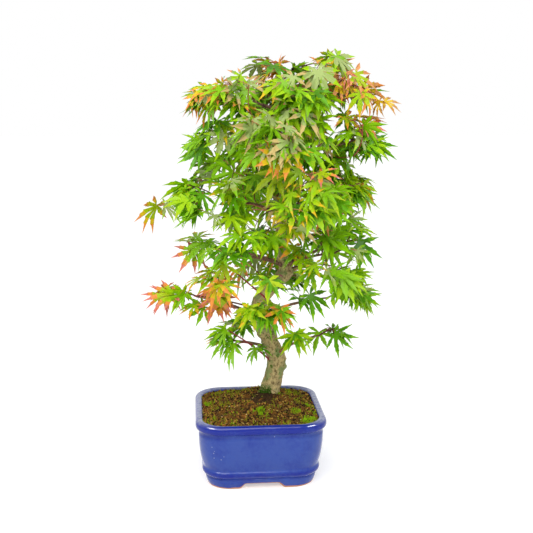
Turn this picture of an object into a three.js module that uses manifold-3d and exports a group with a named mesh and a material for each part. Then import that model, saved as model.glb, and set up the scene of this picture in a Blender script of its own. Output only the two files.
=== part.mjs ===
// A bonsai Japanese maple in a square glazed pot: the pot, its soil, an S-shaped trunk, a bough for each mass
// of foliage, and the masses themselves, tier by tier round the trunk.
// Millimetres, +Z up. The origin is on the ground under the middle of the pot. The front of the tree faces -Y.
import * as THREE from "three";
import { mergeVertices } from "three/addons/utils/BufferGeometryUtils.js";
import Module from "manifold-3d";

const wasm = await Module();
wasm.setup();

// ---------------------------------------------------------------- driving dimensions
const gap = 0.4; // left between two solids that touch

const pot = {
  height: 88.5,
  rimHalf: 85, // half the width of the rim, outside
  floor: 13.5, // height of the inside floor
  footHeight: 7, // height of the hollow under the pot
  footRing: 11, // width of the foot from outside to inside
  footGap: 60, // width of the arch between two feet, at the ground
  drainRadius: 8,
  cornerShare: 0.42, // corner radius as a share of the half width
};
// Half width and height of the outside, from the ground up: foot band, moulding, belly, neck and lip.
const potOutside = [
  [69.5, 0], [71, 4], [72.4, 16.5], [75.6, 18.8], [75.4, 24],
  [78.4, 39], [80.6, 58], [81, 75.5],
  [pot.rimHalf - 0.4, pot.height - 9.5], [pot.rimHalf, pot.height - 3], [pot.rimHalf - 2, pot.height],
];
const potInside = [[75.5, pot.height], [74, pot.height - 1.5], [72, 60], [66, 15.5], [64, pot.floor]];

const soil = { edge: 84, crest: 104, clearance: 0.4, unevenness: 1 };

const trunk = {
  footHeight: 99, // the flat cut at the ground
  baseRadius: 13,
  tipRadius: 2.4,
  taper: 0.8,
  flareRadius: 3, // what the root flare adds at the ground
  flareHeight: 11,
  rootRidges: 5,
  sides: 12,
  steps: 24,
};
// The trunk's bends: how far right, how far back and how high.
const trunkBends = [
  [15.5, 12, 99], [17.5, 12, 107], [24, 8, 150], [14, 4, 180], [0, 2, 215], [12, 4, 244],
  [36, 6, 270], [29, 5, 305], [33, 0, 350], [41, -4, 430], [40, -4, 470], [34, -2, 508],
];

// Tiers of foliage from the bottom up. Each bearing's number is how far that mass reaches from the trunk.
const bearings = { right: 0, back: 90, left: 180, front_left: 222, front: 270, front_right: 322 };
const tiers = [
  { name: "skirt", height: 180, thickness: 56, inner: 30, turn: 8, reach: { right: 112, back: 104, left: 74 } },
  {
    name: "low", height: 237, thickness: 62, inner: 28, turn: -6,
    reach: { right: 138, back: 130, left: 150, front: 98 },
  },
  {
    name: "middle", height: 303, thickness: 70, inner: 27, turn: 0,
    reach: { right: 124, back: 134, left: 134, front_left: 128, front_right: 126 },
  },
  {
    name: "high", height: 371, thickness: 71, inner: 24, turn: 12,
    reach: { right: 126, back: 138, left: 142, front: 134 },
  },
  {
    name: "upper", height: 438, thickness: 68, inner: 22, turn: -10,
    reach: { right: 125, back: 136, left: 138, front: 134 },
  },
  {
    name: "top", height: 495, thickness: 56, inner: 18, turn: 10,
    reach: { right: 123, back: 104, left: 124, front: 104 },
  },
];
// Masses on their own: the cap over the trunk's tip, and single sprays that stand out past the tiers.
const singles = [
  { name: "cap", bearing: -6, height: 533, thickness: 34, inner: -62, reach: 86, spread: 58, onBough: false },
  { name: "left_tip", bearing: 166, height: 334, thickness: 28, inner: 146, reach: 200, spread: 18, onBough: false, detail: 1 },
  { name: "right_tip", bearing: -22, height: 482, thickness: 32, inner: 94, reach: 128, spread: 26, onBough: false, detail: 1 },
  { name: "hanging_left", bearing: 196, height: 146, thickness: 42, inner: 46, reach: 82, spread: 17, onBough: true, detail: 1 },
];

const foliage = {
  unevenness: 0.12, // of a mass's own radius
  boxiness: 0.82, // 1 gives an ellipsoid, less gives fuller shoulders
  droop: 0.4, // of its half thickness, at the outer end
  sideways: 0.39, // half width across the bearing as a share of the reach
  detail: 2,
};
const bough = { rootRadius: 2.4, tipRadius: 1.1, climb: 0.3, sides: 5, steps: 4 };

// ---------------------------------------------------------------- solids from loops of points
// Joins loops of equally many points into a closed solid, with a flat fan over the first and the last.
function loft(loops) {
  const count = loops[0].length;
  const positions = [];
  const index = [];
  for (const loop of loops) for (const p of loop) positions.push(p.x, p.y, p.z);
  for (let k = 0; k + 1 < loops.length; k++) {
    for (let i = 0; i < count; i++) {
      const a = k * count + i;
      const b = k * count + ((i + 1) % count);
      index.push(a, b, b + count, a, b + count, a + count);
    }
  }
  for (const [k, forward] of [[0, false], [loops.length - 1, true]]) {
    const middle = loops[k].reduce((sum, p) => sum.add(p), new THREE.Vector3()).divideScalar(count);
    const hub = positions.length / 3;
    positions.push(middle.x, middle.y, middle.z);
    for (let i = 0; i < count; i++) {
      const a = k * count + i;
      const b = k * count + ((i + 1) % count);
      if (forward) index.push(a, b, hub);
      else index.push(b, a, hub);
    }
  }
  const geometry = new THREE.BufferGeometry();
  geometry.setAttribute("position", new THREE.Float32BufferAttribute(positions, 3));
  geometry.setIndex(index);
  return geometry;
}

// A level square loop with round corners.
function squareLoop(half, z, cornerShare = pot.cornerShare, corner = 4) {
  const radius = half * cornerShare;
  const loop = [];
  for (let quarter = 0; quarter < 4; quarter++) {
    for (let i = 0; i <= corner; i++) {
      const turn = ((quarter + i / corner) * Math.PI) / 2;
      const middle = (quarter + 0.5) * (Math.PI / 2);
      loop.push(new THREE.Vector3(
        Math.sign(Math.cos(middle)) * (half - radius) + radius * Math.cos(turn),
        Math.sign(Math.sin(middle)) * (half - radius) + radius * Math.sin(turn),
        z,
      ));
    }
  }
  return loop;
}

// A tapering limb along a curve. radiusAt takes the share of the way along and the angle round the limb.
function limb(curve, radiusAt, sides, steps) {
  const frames = curve.computeFrenetFrames(steps, false);
  const loops = [];
  for (let k = 0; k <= steps; k++) {
    const centre = curve.getPointAt(k / steps);
    const loop = [];
    for (let i = 0; i < sides; i++) {
      const angle = (i / sides) * 2 * Math.PI;
      const radius = radiusAt(k / steps, angle);
      loop.push(centre.clone()
        .addScaledVector(frames.normals[k], radius * Math.cos(angle))
        .addScaledVector(frames.binormals[k], radius * Math.sin(angle)));
    }
    loops.push(loop);
  }
  return loft(loops);
}

// ---------------------------------------------------------------- cutting and joining
function solidOf(geometry) {
  const bare = geometry.clone();
  bare.deleteAttribute("normal");
  bare.deleteAttribute("uv");
  const merged = mergeVertices(bare, 1e-4);
  return new wasm.Manifold(new wasm.Mesh({
    numProp: 3,
    vertProperties: new Float32Array(merged.attributes.position.array),
    triVerts: new Uint32Array(merged.index.array),
  }));
}

function geometryOf(solid) {
  const mesh = solid.getMesh();
  const geometry = new THREE.BufferGeometry();
  geometry.setAttribute("position", new THREE.BufferAttribute(new Float32Array(mesh.vertProperties), 3));
  geometry.setIndex(new THREE.BufferAttribute(new Uint32Array(mesh.triVerts), 1));
  geometry.computeVertexNormals();
  return geometry;
}

// Of the bodies that a cut leaves, the one for which score is least.
function bestBody(solid, score) {
  return solid.decompose().reduce((best, body) => (score(body) < score(best) ? body : best));
}

// ---------------------------------------------------------------- pot and soil
// A bonsai pot of one piece: belly, lip, a moulding over the foot, and a hollow foot ring that is cut by an
// arch on each side, which leaves four corner feet. One drain hole goes through the floor.
function makePot() {
  const shell = loft([...potOutside, ...potInside].map(([half, z]) => squareLoop(half, z)));
  const footInside = potOutside[0][0] - pot.footRing;
  const hollow = loft([-1, pot.footHeight].map((z) => squareLoop(footInside, z)));
  const half = pot.footGap / 2;
  const top = pot.footHeight - 0.8;
  const arch = new THREE.Shape();
  arch.moveTo(-half, -1);
  arch.lineTo(-half, 0);
  arch.quadraticCurveTo(-half * 0.8, 0, -half * 0.76, top * 0.55);
  arch.quadraticCurveTo(-half * 0.73, top, -half * 0.6, top);
  arch.lineTo(half * 0.6, top);
  arch.quadraticCurveTo(half * 0.73, top, half * 0.76, top * 0.55);
  arch.quadraticCurveTo(half * 0.8, 0, half, 0);
  arch.lineTo(half, -1);
  arch.closePath();
  const length = 2 * pot.rimHalf;
  const along = new THREE.ExtrudeGeometry(arch, { depth: length, bevelEnabled: false, curveSegments: 3 })
    .translate(0, 0, -length / 2)
    .rotateX(Math.PI / 2);
  const across = along.clone().rotateZ(Math.PI / 2);
  const drain = new THREE.CylinderGeometry(pot.drainRadius, pot.drainRadius, 4 * pot.floor, 16).rotateX(Math.PI / 2);
  return geometryOf([hollow, along, across, drain].reduce(
    (body, tool) => body.subtract(solidOf(tool)), solidOf(shell),
  ));
}

// The bonsai soil fills the pot to just under the rim and rises in a low mound to the foot of the trunk.
function makeSoil(trunkCutter) {
  const loops = potInside.slice(2).reverse()
    .map(([half, z]) => squareLoop(half - soil.clearance, z + soil.clearance));
  const [[mouthHalf, mouthHeight], [wallHalf, wallHeight]] = potInside.slice(1);
  const wallAtEdge = THREE.MathUtils.mapLinear(soil.edge, wallHeight, mouthHeight, wallHalf, mouthHalf);
  const edgeHalf = wallAtEdge - soil.clearance;
  const foot = new THREE.Vector3(...trunkBends[0]);
  for (const share of [1, 0.8, 0.55, 0.35, 0.18]) {
    const rise = THREE.MathUtils.smootherstep(1 - share, 0, 0.85);
    const height = THREE.MathUtils.lerp(soil.edge, soil.crest, rise);
    loops.push(squareLoop(edgeHalf * share, height, THREE.MathUtils.lerp(1, pot.cornerShare, share)).map((p) => {
      p.x += foot.x * (1 - share);
      p.y += foot.y * (1 - share);
      if (share < 1) p.z += soil.unevenness * Math.sin(0.09 * p.x + 1) * Math.cos(0.11 * p.y);
      return p;
    }));
  }
  return geometryOf(solidOf(loft(loops)).subtract(trunkCutter));
}

// ---------------------------------------------------------------- trunk
const trunkCurve = new THREE.CatmullRomCurve3(
  trunkBends.map((bend) => new THREE.Vector3(...bend)), false, "centripetal",
);

function trunkRadius(share, angle, extra) {
  const length = trunkCurve.getLength();
  const plain = trunk.tipRadius + (trunk.baseRadius - trunk.tipRadius) * (1 - share) ** trunk.taper;
  const flare = Math.exp(-(share * length) / trunk.flareHeight) * trunk.flareRadius;
  return plain + flare * (1 + 0.5 * Math.cos(trunk.rootRidges * angle)) + extra;
}

function makeTrunk(extra) {
  const geometry = limb(trunkCurve, (share, angle) => trunkRadius(share, angle, extra), trunk.sides, trunk.steps);
  const places = geometry.attributes.position;
  const rim = [...Array(trunk.sides).keys(), places.count - 2]; // the first loop and its hub
  for (const i of rim) places.setZ(i, trunk.footHeight - extra); // the flat cut at the ground
  return geometry;
}

// The trunk's middle at a height.
function trunkAt(height) {
  const samples = trunkCurve.getSpacedPoints(400);
  return samples.reduce((best, p) => (Math.abs(p.z - height) < Math.abs(best.z - height) ? p : best));
}

// ---------------------------------------------------------------- foliage and boughs
// A closed uneven mass: a sphere stretched along its bearing, made uneven by waves, its outer end drooping.
function makeMass(mass, extra) {
  const geometry = new THREE.IcosahedronGeometry(1, mass.detail ?? foliage.detail);
  const half = [(mass.reach - mass.inner) / 2, mass.spread, mass.thickness / 2];
  const places = geometry.attributes.position;
  const p = new THREE.Vector3();
  for (let i = 0; i < places.count; i++) {
    p.fromBufferAttribute(places, i).normalize();
    const wave = Math.sin(3.1 * p.x + mass.seed) + Math.cos(3.7 * p.y - 2 * mass.seed) * Math.sin(2.9 * p.z + mass.seed);
    const swell = 1 + foliage.unevenness * wave * (1 - p.x * p.x);
    const droop = -foliage.droop * half[2] * Math.max(0, p.x) ** 2;
    const [along, across, height] = p.toArray().map((c) => Math.sign(c) * Math.abs(c) ** foliage.boxiness * swell);
    p.set(along * (half[0] + extra), across * (half[1] + extra), height * (half[2] + extra) + droop);
    places.setXYZ(i, p.x, p.y, p.z);
  }
  return geometry.rotateZ(mass.bearing).translate(mass.centre.x, mass.centre.y, mass.centre.z);
}

// Every mass with its own bearing, centre and size.
function planMasses() {
  const planned = [];
  for (const tier of tiers) {
    for (const [side, reach] of Object.entries(tier.reach)) {
      planned.push({
        ...tier, name: `${tier.name}_${side}`, reach,
        bearing: bearings[side] + tier.turn,
        spread: reach * foliage.sideways,
        onBough: true,
      });
    }
  }
  planned.push(...singles);
  return planned.map((mass, i) => {
    const bearing = THREE.MathUtils.degToRad(mass.bearing);
    const axis = trunkAt(mass.height);
    const distance = (mass.reach + mass.inner) / 2;
    const centre = new THREE.Vector3(
      axis.x + distance * Math.cos(bearing),
      axis.y + distance * Math.sin(bearing),
      mass.height,
    );
    return { ...mass, bearing, centre, seed: 1.7 * i + 0.6 };
  });
}

// A bough leaves the trunk below its mass, climbs and levels out towards the middle of the mass.
function boughCurve(mass) {
  const run = (mass.reach + mass.inner) / 2;
  const start = trunkAt(Math.max(mass.height - bough.climb * run, trunk.footHeight + 42));
  const turn = start.clone().lerp(mass.centre, 0.5);
  turn.z = THREE.MathUtils.lerp(turn.z, mass.centre.z, 0.8);
  return new THREE.QuadraticBezierCurve3(start, turn, mass.centre);
}

// ---------------------------------------------------------------- assembly
const material = (colour, roughness) => new THREE.MeshStandardMaterial({ color: colour, roughness, metalness: 0 });
const finishes = {
  glaze: material(0x3f52a8, 0.18),
  earth: material(0x4a3320, 0.95),
  bark: material(0x8a7a5c, 0.85),
  twig: material(0x6b3a34, 0.7),
  leaf: material(0x5cab1f, 0.55),
  tinted: material(0xd08a45, 0.55),
};

const tree = new THREE.Group();
tree.name = "potted_maple";

function place(name, geometry, finish, anchor = new THREE.Vector3()) {
  const mesh = new THREE.Mesh(geometry.translate(-anchor.x, -anchor.y, -anchor.z), finish);
  mesh.name = name;
  mesh.position.copy(anchor);
  tree.add(mesh);
}

const trunkCutter = solidOf(makeTrunk(gap));
place("pot", makePot(), finishes.glaze);
place("soil", makeSoil(trunkCutter), finishes.earth);
place("trunk", makeTrunk(0), finishes.bark);

// Each mass gives way to the trunk and to the masses placed before it.
const masses = planMasses();
let taken = trunkCutter;
for (const mass of masses) {
  const whole = solidOf(makeMass(mass, 0));
  const kept = bestBody(whole.subtract(taken), (body) => -body.volume());
  taken = taken.add(solidOf(makeMass(mass, gap)));
  const tinted = mass.name.endsWith("_tip");
  place(`foliage_${mass.name}`, geometryOf(kept), tinted ? finishes.tinted : finishes.leaf, mass.centre);
}

// Each bough starts at the bark and ends where it enters its mass. It gives way to the boughs before it.
for (const mass of masses.filter(({ onBough }) => onBough)) {
  const curve = boughCurve(mass);
  const taper = (extra) => (share) => THREE.MathUtils.lerp(bough.rootRadius, bough.tipRadius, share) + extra;
  const start = curve.getPointAt(0);
  const whole = solidOf(limb(curve, taper(0), bough.sides, bough.steps));
  const kept = bestBody(whole.subtract(taken), (body) => {
    const box = body.boundingBox();
    const middle = new THREE.Vector3(...box.min).add(new THREE.Vector3(...box.max)).divideScalar(2);
    return middle.distanceTo(start);
  });
  taken = taken.add(solidOf(limb(curve, taper(gap), bough.sides, bough.steps)));
  place(`bough_${mass.name}`, geometryOf(kept), finishes.twig, start);
}

export default tree;
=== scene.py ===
import math

import bpy
import numpy as np
from mathutils import Matrix, Vector, noise
from mathutils.bvhtree import BVHTree


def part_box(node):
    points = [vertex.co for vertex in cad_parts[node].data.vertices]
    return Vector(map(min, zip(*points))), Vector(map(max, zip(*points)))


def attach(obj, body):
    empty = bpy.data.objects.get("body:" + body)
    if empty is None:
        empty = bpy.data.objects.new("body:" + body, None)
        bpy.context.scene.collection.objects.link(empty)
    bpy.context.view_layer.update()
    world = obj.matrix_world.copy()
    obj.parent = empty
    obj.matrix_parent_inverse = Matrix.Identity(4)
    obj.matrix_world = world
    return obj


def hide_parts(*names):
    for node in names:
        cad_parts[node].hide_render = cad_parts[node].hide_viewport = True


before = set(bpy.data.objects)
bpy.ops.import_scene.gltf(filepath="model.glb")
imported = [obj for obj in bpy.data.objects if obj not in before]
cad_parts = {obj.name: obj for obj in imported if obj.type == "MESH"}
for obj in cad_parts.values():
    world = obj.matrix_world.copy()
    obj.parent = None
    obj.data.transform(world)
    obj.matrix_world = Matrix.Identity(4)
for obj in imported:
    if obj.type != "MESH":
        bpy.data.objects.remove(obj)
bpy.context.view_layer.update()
MM = 0.001

# ---------------------------------------------------------------- Camera
# It stands at the height of the crown and looks down a little on the rim of the pot.
view_turn = math.radians(-4.7)
view_right = Vector((math.cos(view_turn), math.sin(view_turn), 0))
view_ahead = Vector((-math.sin(view_turn), math.cos(view_turn), 0))
camera_distance, camera_height = 1160 * MM, 490 * MM
aim = view_right * 10.9 * MM + Vector((0, 0, 278 * MM))
camera_data = bpy.data.cameras.new("camera")
camera_data.lens, camera_data.sensor_width = 60.8, 36
camera = bpy.data.objects.new("camera", camera_data)
camera.location = aim - view_ahead * camera_distance
camera.location.z = camera_height
camera.rotation_euler = (aim - camera.location).to_track_quat("-Z", "Y").to_euler()
bpy.context.collection.objects.link(camera)
bpy.context.scene.camera = camera

# ---------------------------------------------------------------- Floor and light
# A seamless white studio: a glowing white sweep, white surroundings, a large soft light before the tree and a
# strip at each side, which puts the pale streaks on the lip of the pot.


def new_object(name, mesh):
    thing = bpy.data.objects.new(name, mesh)
    bpy.context.collection.objects.link(thing)
    return thing


def new_material(name, colour, roughness, gloss):
    """A material with one principled shader, and its tree, for what is added to it."""
    material = bpy.data.materials.new(name)
    material.use_nodes = True
    shader = material.node_tree.nodes["Principled BSDF"]
    shader.inputs["Base Color"].default_value = (*colour, 1)
    shader.inputs["Roughness"].default_value = roughness
    shader.inputs["Specular IOR Level"].default_value = gloss
    return material, material.node_tree, shader


def add_node(tree, kind, inputs=(), **settings):
    """A node of that kind. Inputs are values or other nodes' outputs, by the socket's name."""
    node = tree.nodes.new(kind)
    for name, value in settings.items():
        setattr(node, name, value)
    for name, value in dict(inputs).items():
        if isinstance(value, bpy.types.NodeSocket):
            tree.links.new(value, node.inputs[name])
        else:
            node.inputs[name].default_value = value
    return node


floor_size = 12.0
floor_mesh = bpy.data.meshes.new("floor")
floor_corners = [(x * floor_size, y * floor_size, 0) for x, y in ((-1, -1), (1, -1), (1, 1), (-1, 1))]
floor_mesh.from_pydata(floor_corners, [], [(0, 1, 2, 3)])
floor_material, _, floor_shader = new_material("studio_floor", (0.62, 0.62, 0.62), 0.8, 0.0)
floor_shader.inputs["Emission Color"].default_value = (1, 1, 1, 1)
floor_shader.inputs["Emission Strength"].default_value = 0.45
floor_mesh.materials.append(floor_material)
floor = new_object("floor", floor_mesh)

world = bpy.data.worlds.new("studio")
world.use_nodes = True
world.node_tree.nodes["Background"].inputs["Color"].default_value = (1, 1, 1, 1)
world.node_tree.nodes["Background"].inputs["Strength"].default_value = 1.0
bpy.context.scene.world = world
bpy.context.scene.view_settings.view_transform = "Standard"


def soft_light(name, place, width, height, power):
    lamp = bpy.data.lights.new(name, "AREA")
    lamp.shape, lamp.size, lamp.size_y, lamp.energy = "RECTANGLE", width, height, power
    light = bpy.data.objects.new(name, lamp)
    light.location = place
    light.rotation_euler = (Vector((0, 0, 0.25)) - light.location).to_track_quat("-Z", "Y").to_euler()
    bpy.context.collection.objects.link(light)
    return light


soft_light("front_softbox", Vector((-0.35, -1.4, 1.6)), 1.3, 1.3, 28)
for side in (-1, 1):
    strip = soft_light("highlight_strip", Vector((side * 1.0, -0.55, 1.15)), 0.78, 0.44, 46)
    strip.visible_diffuse = False

# ---------------------------------------------------------------- Pot
# One piece of stoneware, slip-cast and glazed cobalt blue all over but for the ground edge of its feet. Round
# lip, full belly, a moulding over the foot ring, and an arch in each side that leaves four corner feet.
_, pot_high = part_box("pot")
corner_share = 0.42
foot_height, foot_half, foot_ring = 7 * MM, 69.5 * MM, 11 * MM
foot_band_top = 14 * MM
arch_top_half, arch_foot_half, arch_height = 21 * MM, 30 * MM, 6.4 * MM
drain_radius = 8 * MM
# Half width and height, up the outside, over the lip and down the inside.
pot_outside = [
    (69.3, 0.7), (70.2, 2.6), (71.3, 6), (72.2, 10), (72.4, 12.2), (71.9, 13.6), (73.2, 15.2),
    (75.4, 17.2), (76.7, 20.0), (76.8, 22.6), (75.7, 24.8), (75.3, 26.4), (76.5, 31), (78.4, 39),
    (79.8, 48), (80.7, 58), (81.0, 65), (80.9, 69.6), (80.2, 71.2), (80.3, 75.4), (81.6, 76.8),
    (83.6, 77.7), (84.8, 79.6), (85.0, 82.4), (84.6, 85.0), (83.5, 87.1), (81.9, 88.3), (80.0, 88.6),
    (78.0, 88.3), (76.4, 87.4), (75.4, 85.9), (74.9, 84), (74.2, 78), (72.8, 62), (69.5, 38), (66.6, 20),
    (65.2, 15.2), (62.5, 13.5),
]
corner_steps, side_steps = 14, 40


def square_loop(half, share=corner_share):
    """Places round a level square with round corners, anticlockwise."""
    half_straight, radius = half * (1 - share), half * share
    places = []
    for quarter in range(4):
        turn = quarter * math.pi / 2
        for i in range(corner_steps):
            angle = i / corner_steps * math.pi / 2
            x = half_straight + radius * math.cos(angle)
            y = half_straight + radius * math.sin(angle)
            places.append((x, y, turn))
        for i in range(side_steps):
            along = half_straight * (1 - 2 * i / side_steps)
            places.append((along, half, turn))
    return np.array([
        (x * math.cos(turn) - y * math.sin(turn), x * math.sin(turn) + y * math.cos(turn))
        for x, y, turn in places
    ])


def loop_mesh(name, loops, closed=False):
    """A mesh over loops of equally many places. The first and last are joined, or filled with a flat fan."""
    count = len(loops[0])
    vertices = np.concatenate(loops)
    faces = []
    last = len(loops) if closed else len(loops) - 1
    for k in range(last):
        low, high = k * count, (k + 1) % len(loops) * count
        for i in range(count):
            j = (i + 1) % count
            faces.append((low + i, low + j, high + j, high + i))
    if not closed:
        vertices = np.concatenate([vertices, [loops[0].mean(0)], [loops[-1].mean(0)]])
        first_hub, last_hub = len(vertices) - 2, len(vertices) - 1
        for i in range(count):
            j = (i + 1) % count
            faces.append((j, i, first_hub))
            faces.append(((len(loops) - 1) * count + i, (len(loops) - 1) * count + j, last_hub))
    mesh = bpy.data.meshes.new(name)
    mesh.from_pydata(vertices.tolist(), [], faces)
    mesh.shade_smooth()
    return mesh


def smooth_line(points, steps):
    """A Catmull-Rom curve through points, with that many steps between each two."""
    points = np.array(points, float)
    padded = np.concatenate([[2 * points[0] - points[1]], points, [2 * points[-1] - points[-2]]])
    line = []
    for k in range(len(points) - 1):
        a, b, c, d = padded[k : k + 4]
        for i in range(steps):
            t = i / steps
            swing = 2 * a - 5 * b + 4 * c - d
            line.append(0.5 * (2 * b + (c - a) * t + swing * t**2 + (3 * b - a - 3 * c + d) * t**3))
    return np.array([*line, points[-1]])


def arch_rise(places):
    """How far an arch lifts the foot's edge at each place of a loop: nothing at the corners."""
    along = np.abs(places).min(1)
    slope = np.clip((arch_foot_half - along) / (arch_foot_half - arch_top_half), 0, 1)
    return arch_height * slope * slope * (3 - 2 * slope)


def pot_loops():
    """The pot's loops from the drain hole outwards, over the lip and back, and how bare its clay is."""
    loops, bare_clay = [], []

    def add(half, height, share=corner_share, clay=0.0):
        flat = square_loop(half, share)
        rise = arch_rise(square_loop(foot_half)) * max(0, 1 - height / foot_band_top)
        if half < foot_half - foot_ring - 1 * MM:
            rise = 0 * rise
        loops.append(np.column_stack([flat, height + rise]))
        bare_clay.append(clay)

    add(drain_radius, foot_height, 1.0)
    inner_foot = foot_half - foot_ring
    for half in (24 * MM, 42 * MM, inner_foot - 2 * MM):
        add(half, foot_height)
    for inset, height in ((-0.4, 6.6), (0, 1.2), (0.8, 0)):
        add(inner_foot + inset * MM, height * MM, clay=1.0)
    for half in (inner_foot + 3 * MM, foot_half - 3 * MM, foot_half - 1 * MM):
        add(half, 0, clay=1.0)
    for i, (half, height) in enumerate(smooth_line(pot_outside, 2)):
        add(half * MM, height * MM, clay=max(0.0, 0.95 - 0.28 * i))
    for half in (50 * MM, 25 * MM):
        add(half, pot_outside[-1][1] * MM)
    add(drain_radius, pot_outside[-1][1] * MM, 1.0)
    return loops, bare_clay


def mix_colour(tree, factor, first, second):
    """The output of a colour mix. First and second are colours or sockets."""
    node = tree.nodes.new("ShaderNodeMix")
    node.data_type = "RGBA"
    for socket, value in ((node.inputs[0], factor), (node.inputs[6], first), (node.inputs[7], second)):
        if isinstance(value, bpy.types.NodeSocket):
            tree.links.new(value, socket)
        else:
            socket.default_value = value
    return node.outputs[2]


def colour_ramp(tree, factor, stops):
    """The colour output of a ramp over that factor. Stops are (position, colour)."""
    node = add_node(tree, "ShaderNodeValToRGB", {"Fac": factor})
    for position, _ in stops[1:-1]:
        node.color_ramp.elements.new(position)
    for element, (position, colour) in zip(node.color_ramp.elements, stops):
        element.position, element.color = position, (*colour, 1)
    return node.outputs["Color"]


def remap(tree, value, low, high, to_low=0.0, to_high=1.0):
    return add_node(tree, "ShaderNodeMapRange", {
        "Value": value, "From Min": low, "From Max": high, "To Min": to_low, "To Max": to_high}).outputs[0]


def combine(tree, operation, first, second, **settings):
    return add_node(tree, "ShaderNodeMath", {0: first, 1: second}, operation=operation, **settings).outputs[0]


def object_place(tree):
    return add_node(tree, "ShaderNodeTexCoord").outputs["Object"]


def mottle(tree, place, scale, detail, roughness=0.5):
    """A noise through the piece, about 0.5 on average."""
    return add_node(tree, "ShaderNodeTexNoise", {
        "Vector": place, "Scale": scale, "Detail": detail, "Roughness": roughness}).outputs["Fac"]


def add_relief(tree, shader, height, strength, distance):
    bump = add_node(tree, "ShaderNodeBump", {"Height": height, "Strength": strength, "Distance": distance})
    tree.links.new(bump.outputs["Normal"], shader.inputs["Normal"])


def axis_part(tree, vector, axis):
    return add_node(tree, "ShaderNodeSeparateXYZ", {"Vector": vector}).outputs[axis]


def glaze_material():
    deep_blue, milky_blue = (0.0005, 0.011, 0.210, 1), (0.023, 0.056, 0.270, 1)
    clay, speck = (0.46, 0.20, 0.085, 1), (0.17, 0.21, 0.34, 1)
    material, tree, shader = new_material("cobalt_glaze", deep_blue[:3], 0.08, 0.34)
    place = object_place(tree)
    # The glaze runs thick and deep on the lip and over the moulding, and thin and milky on the belly and the
    # foot. In the two grooves it goes dark and grey. Height as a share of the pot's, and milk.
    share = remap(tree, axis_part(tree, place, "Z"), 0.0, pot_high.z)
    bands = [
        (0.0, 0.85), (0.135, 0.80), (0.152, 0.35), (0.175, 0.55), (0.205, 0.10), (0.245, 0.10),
        (0.275, 0.75), (0.50, 1.0), (0.79, 0.92), (0.815, 0.55), (0.855, 0.70), (0.875, 0.10),
        (0.93, 0.0), (0.97, 0.0), (1.0, 0.10),
    ]
    thickness = colour_ramp(tree, share, [(position, (milk,) * 3) for position, milk in bands])
    fine = mottle(tree, place, 210.0, 5.0, 0.7)
    cloud = mottle(tree, place, 34.0, 4.0, 0.6)
    uneven = combine(tree, "ADD", remap(tree, fine, 0.3, 0.7, -0.22, 0.22),
                     remap(tree, cloud, 0.3, 0.7, -0.34, 0.34))
    milk = combine(tree, "ADD", thickness, uneven, use_clamp=True)
    blue = mix_colour(tree, milk, deep_blue, milky_blue)
    # Painted reflection of the white surroundings: a paler grey-lavender blue on the upward-facing top of the
    # rim, broken up by the fine mottle. And a few pinholes with pale grit in them.
    sky_side = axis_part(tree, add_node(tree, "ShaderNodeNewGeometry").outputs["Normal"], "Z")
    behind_front = remap(tree, axis_part(tree, place, "Y"), -0.082, -0.060)
    painted_sky_reflection = combine(tree, "MULTIPLY", remap(tree, sky_side, 0.35, 0.9, 0.0, 0.85), behind_front)
    sky_reflection_on_rim = combine(tree, "MULTIPLY", remap(tree, share, 0.90, 0.97), painted_sky_reflection)
    mottled_sky_reflection = combine(tree, "MULTIPLY", sky_reflection_on_rim, remap(tree, fine, 0.38, 0.56, 0.45, 1.0))
    # Mix in the painted reflection of the white surroundings on the rim's top.
    sky_reflected_blue = mix_colour(tree, mottled_sky_reflection, blue, (0.270, 0.290, 0.400, 1))
    dots = add_node(tree, "ShaderNodeTexVoronoi", {"Vector": place, "Scale": 170.0, "Randomness": 1.0})
    rare = mottle(tree, place, 22.0, 2.0)
    dot = combine(tree, "LESS_THAN", dots.outputs["Distance"], 0.13)
    where = combine(tree, "GREATER_THAN", rare, 0.67)
    specked = mix_colour(tree, combine(tree, "MULTIPLY", dot, where), sky_reflected_blue, speck)
    bare = add_node(tree, "ShaderNodeAttribute", attribute_name="bare_clay").outputs["Fac"]
    ragged = combine(tree, "MULTIPLY", bare, combine(tree, "ADD", uneven, 1.0))
    is_clay = remap(tree, ragged, 0.35, 0.55)
    tree.links.new(mix_colour(tree, is_clay, specked, clay), shader.inputs["Base Color"])
    tree.links.new(remap(tree, is_clay, 0.0, 1.0, 0.09, 0.85), shader.inputs["Roughness"])
    ripple = mottle(tree, place, 42.0, 3.0)
    orange_peel = combine(tree, "ADD", ripple, remap(tree, fine, 0, 1, 0, 0.12))
    add_relief(tree, shader, orange_peel, 0.22, 0.004)
    return material


loops, bare_clay = pot_loops()
pot_mesh = loop_mesh("glazed_pot", loops, closed=True)
clay_layer = pot_mesh.attributes.new("bare_clay", "FLOAT", "POINT")
clay_layer.data.foreach_set("value", np.repeat(bare_clay, len(loops[0])))
pot_mesh.materials.append(glaze_material())
pot = new_object("glazed_pot", pot_mesh)
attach(pot, "root")
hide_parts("pot")

# ---------------------------------------------------------------- Soil
# Gritty brown potting soil, filled to just under the lip and mounded up to the foot of the trunk, with fine
# dark compost pressed round the stem. Crumbs, bark chips, straw and grit lie loose on it, and moss grows on
# it.
_, soil_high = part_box("soil")
trunk_foot = Vector((15.5, 12, 99)) * MM
soil_edge_half, soil_edge_height = 75.0 * MM, 85.4 * MM
soil_crest_height = soil_high.z - 1.0 * MM
soil_rows, soil_skirt = 64, 22 * MM
compost_middle, compost_reach = Vector((6, -8)) * MM, 27 * MM
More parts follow.
